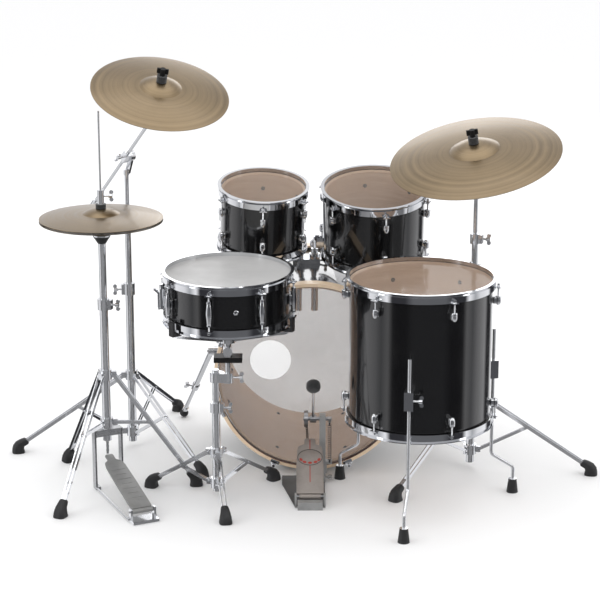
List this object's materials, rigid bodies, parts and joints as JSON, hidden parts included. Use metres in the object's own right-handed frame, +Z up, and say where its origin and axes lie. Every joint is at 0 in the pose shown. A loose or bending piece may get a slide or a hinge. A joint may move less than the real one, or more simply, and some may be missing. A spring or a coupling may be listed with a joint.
{
  "type": "acoustic drum kit",
  "caption": "Acoustic drum kit: bass drum, rack toms, floor tom and snare with hi-hat, crash and ride cymbals on tripod stands and foot pedals.",
  "frame": {"origin": "on the floor under the centre of the whole kit's bounding box", "axes": "+Z up, +X to the player's right along the kit's width, +Y away from the player, along the bass drum from its batter head to its front head"},
  "size_m": [1.8012, 1.1522, 1.2324],
  "materials": {
    "shell_lacquer": "gloss",
    "chrome": "polished",
    "steel_tube": "polished",
    "clear_head": "gloss",
    "coated_head": "matte",
    "white_head": "satin",
    "maple_hoop": "satin",
    "bronze": "satin",
    "rubber": "matte",
    "felt": "matte",
    "cast_board": "satin",
    "spring_steel": "satin"
  },
  "bodies": {
    "kit": {"bass_shell": "shell_lacquer", "bass_hoops": "maple_hoop", "bass_batter_head": "clear_head", "bass_front_head": "white_head", "bass_lugs": "chrome", "bass_claws": "chrome", "tom_holder_base": "chrome", "floor_tom_shell": "shell_lacquer", "floor_tom_hoops": "chrome", "floor_tom_heads": "clear_head", "floor_tom_lugs": "chrome", "floor_tom_leg_brackets": "chrome", "snare_stand_tripod": "steel_tube", "hihat_stand_tripod": "steel_tube", "crash_stand_tripod": "steel_tube", "ride_stand_tripod": "steel_tube", "tripod_feet": "rubber", "pedal_frame": "cast_board", "pedal_spring": "spring_steel"},
    "bass_spur_left": {"bass_spur_left": "steel_tube"},
    "bass_spur_right": {"bass_spur_right": "steel_tube"},
    "floor_tom_leg_1": {"floor_tom_leg_1": "steel_tube"},
    "floor_tom_leg_2": {"floor_tom_leg_2": "steel_tube"},
    "floor_tom_leg_3": {"floor_tom_leg_3": "steel_tube"},
    "tom_left_post": {"tom_left_post": "steel_tube"},
    "tom_right_post": {"tom_right_post": "steel_tube"},
    "tom_left": {"tom_left_arm": "chrome", "tom_left_shell": "shell_lacquer", "tom_left_hoops": "chrome", "tom_left_heads": "clear_head", "tom_left_lugs": "chrome"},
    "tom_right": {"tom_right_arm": "chrome", "tom_right_shell": "shell_lacquer", "tom_right_hoops": "chrome", "tom_right_heads": "clear_head", "tom_right_lugs": "chrome"},
    "snare_stand_post": {"snare_stand_post": "steel_tube"},
    "snare": {"snare_basket": "chrome", "snare_shell": "shell_lacquer", "snare_hoops": "chrome", "snare_heads": "coated_head", "snare_lugs": "chrome", "snare_strainer": "chrome", "snare_wires": "spring_steel"},
    "snare_lever": {"snare_lever": "chrome"},
    "hihat_upper": {"hihat_upper_tube": "steel_tube", "hihat_bottom_cymbal": "bronze"},
    "hihat_rod": {"hihat_pull_rod": "steel_tube", "hihat_top_cymbal": "bronze"},
    "hihat_footboard": {"hihat_footboard": "cast_board"},
    "pedal_footboard": {"pedal_footboard": "cast_board"},
    "pedal_shaft": {"pedal_shaft": "steel_tube", "pedal_beater": "felt"},
    "crash_upper": {"crash_upper_tube": "steel_tube"},
    "crash_tilter": {"crash_boom_tilter": "chrome"},
    "crash_boom": {"crash_boom_arm": "steel_tube"},
    "crash_cymbal": {"crash_cymbal": "bronze"},
    "ride_upper": {"ride_upper_tube": "steel_tube"},
    "ride_tilter": {"ride_tilter": "chrome"},
    "ride_cymbal": {"ride_cymbal": "bronze"}
  },
  "joints": [
    {"name": "bass_spur_left_fold", "type": "hinge", "parent": "kit", "child": "bass_spur_left", "pos_m": [-0.27808, 0.24974, 0.303], "axis": [1, 0, 0], "range_deg": [0, 50]},
    {"name": "bass_spur_right_fold", "type": "hinge", "parent": "kit", "child": "bass_spur_right", "pos_m": [0.34392, 0.24974, 0.303], "axis": [1, 0, 0], "range_deg": [0, 50]},
    {"name": "floor_tom_leg_1_slide", "type": "slide", "parent": "kit", "child": "floor_tom_leg_1", "axis": [0, 0, 1], "range_m": [-0.05, 0.08]},
    {"name": "floor_tom_leg_2_slide", "type": "slide", "parent": "kit", "child": "floor_tom_leg_2", "axis": [0, 0, 1], "range_m": [-0.05, 0.08]},
    {"name": "floor_tom_leg_3_slide", "type": "slide", "parent": "kit", "child": "floor_tom_leg_3", "axis": [0, 0, 1], "range_m": [-0.05, 0.08]},
    {"name": "tom_left_post_slide", "type": "slide", "parent": "kit", "child": "tom_left_post", "axis": [0, 0, 1], "range_m": [-0.02, 0.1]},
    {"name": "tom_right_post_slide", "type": "slide", "parent": "kit", "child": "tom_right_post", "axis": [0, 0, 1], "range_m": [0, 0.1]},
    {"name": "tom_left_tilt", "type": "hinge", "parent": "tom_left_post", "child": "tom_left", "pos_m": [-0.00608, 0.25074, 0.6493], "axis": [1, 0, 0], "range_deg": [-10, 6]},
    {"name": "tom_right_tilt", "type": "hinge", "parent": "tom_right_post", "child": "tom_right", "pos_m": [0.04392, 0.25074, 0.6493], "axis": [1, 0, 0], "range_deg": [-10, 0]},
    {"name": "snare_stand_height", "type": "slide", "parent": "kit", "child": "snare_stand_post", "axis": [0, 0, 1], "range_m": [-0.005, 0.08]},
    {"name": "snare_tilt", "type": "hinge", "parent": "snare_stand_post", "child": "snare", "pos_m": [-0.20908, -0.21926, 0.452], "axis": [0, 1, 0], "range_deg": [-10, 3]},
    {"name": "snare_throw_off", "type": "hinge", "parent": "snare", "child": "snare_lever", "pos_m": [-0.40299, -0.2547, 0.59146], "axis": [0.1478, -0.9888, -0.0188], "range_deg": [0, 80]},
    {"name": "hihat_height", "type": "slide", "parent": "kit", "child": "hihat_upper", "axis": [0, 0, 1], "range_m": [-0.08, 0]},
    {"name": "hihat_footboard_press", "type": "hinge", "parent": "kit", "child": "hihat_footboard", "pos_m": [-0.45051, -0.3985, 0.03], "axis": [-0.9061, -0.4231, 0], "range_deg": [0, 0.94], "stiffness_Nm_per_rad": 60, "springref_deg": -1.72},
    {"name": "hihat_rod_pull", "type": "slide", "parent": "kit", "child": "hihat_rod", "axis": [0, 0, 1], "range_m": [-0.0047, 0], "stiffness_N_per_m": 1500, "springref_m": 0.012},
    {"name": "pedal_press", "type": "hinge", "parent": "kit", "child": "pedal_footboard", "pos_m": [0.02842, -0.29226, 0.03], "axis": [-1, 0, 0], "range_deg": [0, 6.15], "stiffness_Nm_per_rad": 6, "springref_deg": -8.59},
    {"name": "pedal_shaft_turn", "type": "hinge", "parent": "kit", "child": "pedal_shaft", "pos_m": [0.06592, -0.09526, 0.2], "axis": [-1, 0, 0], "range_deg": [0, 48.5], "deforming": ["pedal_spring"]},
    {"name": "crash_height", "type": "slide", "parent": "kit", "child": "crash_upper", "axis": [0, 0, 1], "range_m": [-0.1, 0.1]},
    {"name": "crash_boom_tilt", "type": "hinge", "parent": "crash_upper", "child": "crash_tilter", "pos_m": [-0.51276, 0.20239, 0.935], "axis": [0.7522, 0.6589, 0], "range_deg": [-25, 25]},
    {"name": "crash_boom_slide", "type": "slide", "parent": "crash_tilter", "child": "crash_boom", "axis": [0.4639, -0.5296, 0.7102], "range_m": [-0.06, 0.1]},
    {"name": "crash_cymbal_spin", "type": "hinge", "parent": "crash_boom", "child": "crash_cymbal", "pos_m": [-0.40908, 0.04974, 1.153], "axis": [0.1549, -0.3508, 0.9235], "continuous": true},
    {"name": "ride_height", "type": "slide", "parent": "kit", "child": "ride_upper", "axis": [0, 0, 1], "range_m": [-0.05, 0.1]},
    {"name": "ride_tilt", "type": "hinge", "parent": "ride_upper", "child": "ride_tilter", "pos_m": [0.51792, 0.03074, 0.942], "axis": [1, 0, 0], "range_deg": [-20, 20]},
    {"name": "ride_cymbal_spin", "type": "hinge", "parent": "ride_tilter", "child": "ride_cymbal", "pos_m": [0.51328, 0.02392, 0.96771], "axis": [-0.1718, -0.2528, 0.9521], "continuous": true}
  ],
  "couplings": [
    {"joint": "pedal_shaft_turn", "follows": "pedal_press", "ratio": 7.88},
    {"joint": "hihat_rod_pull", "follows": "hihat_footboard_press", "m_per_rad": -0.285}
  ]
}
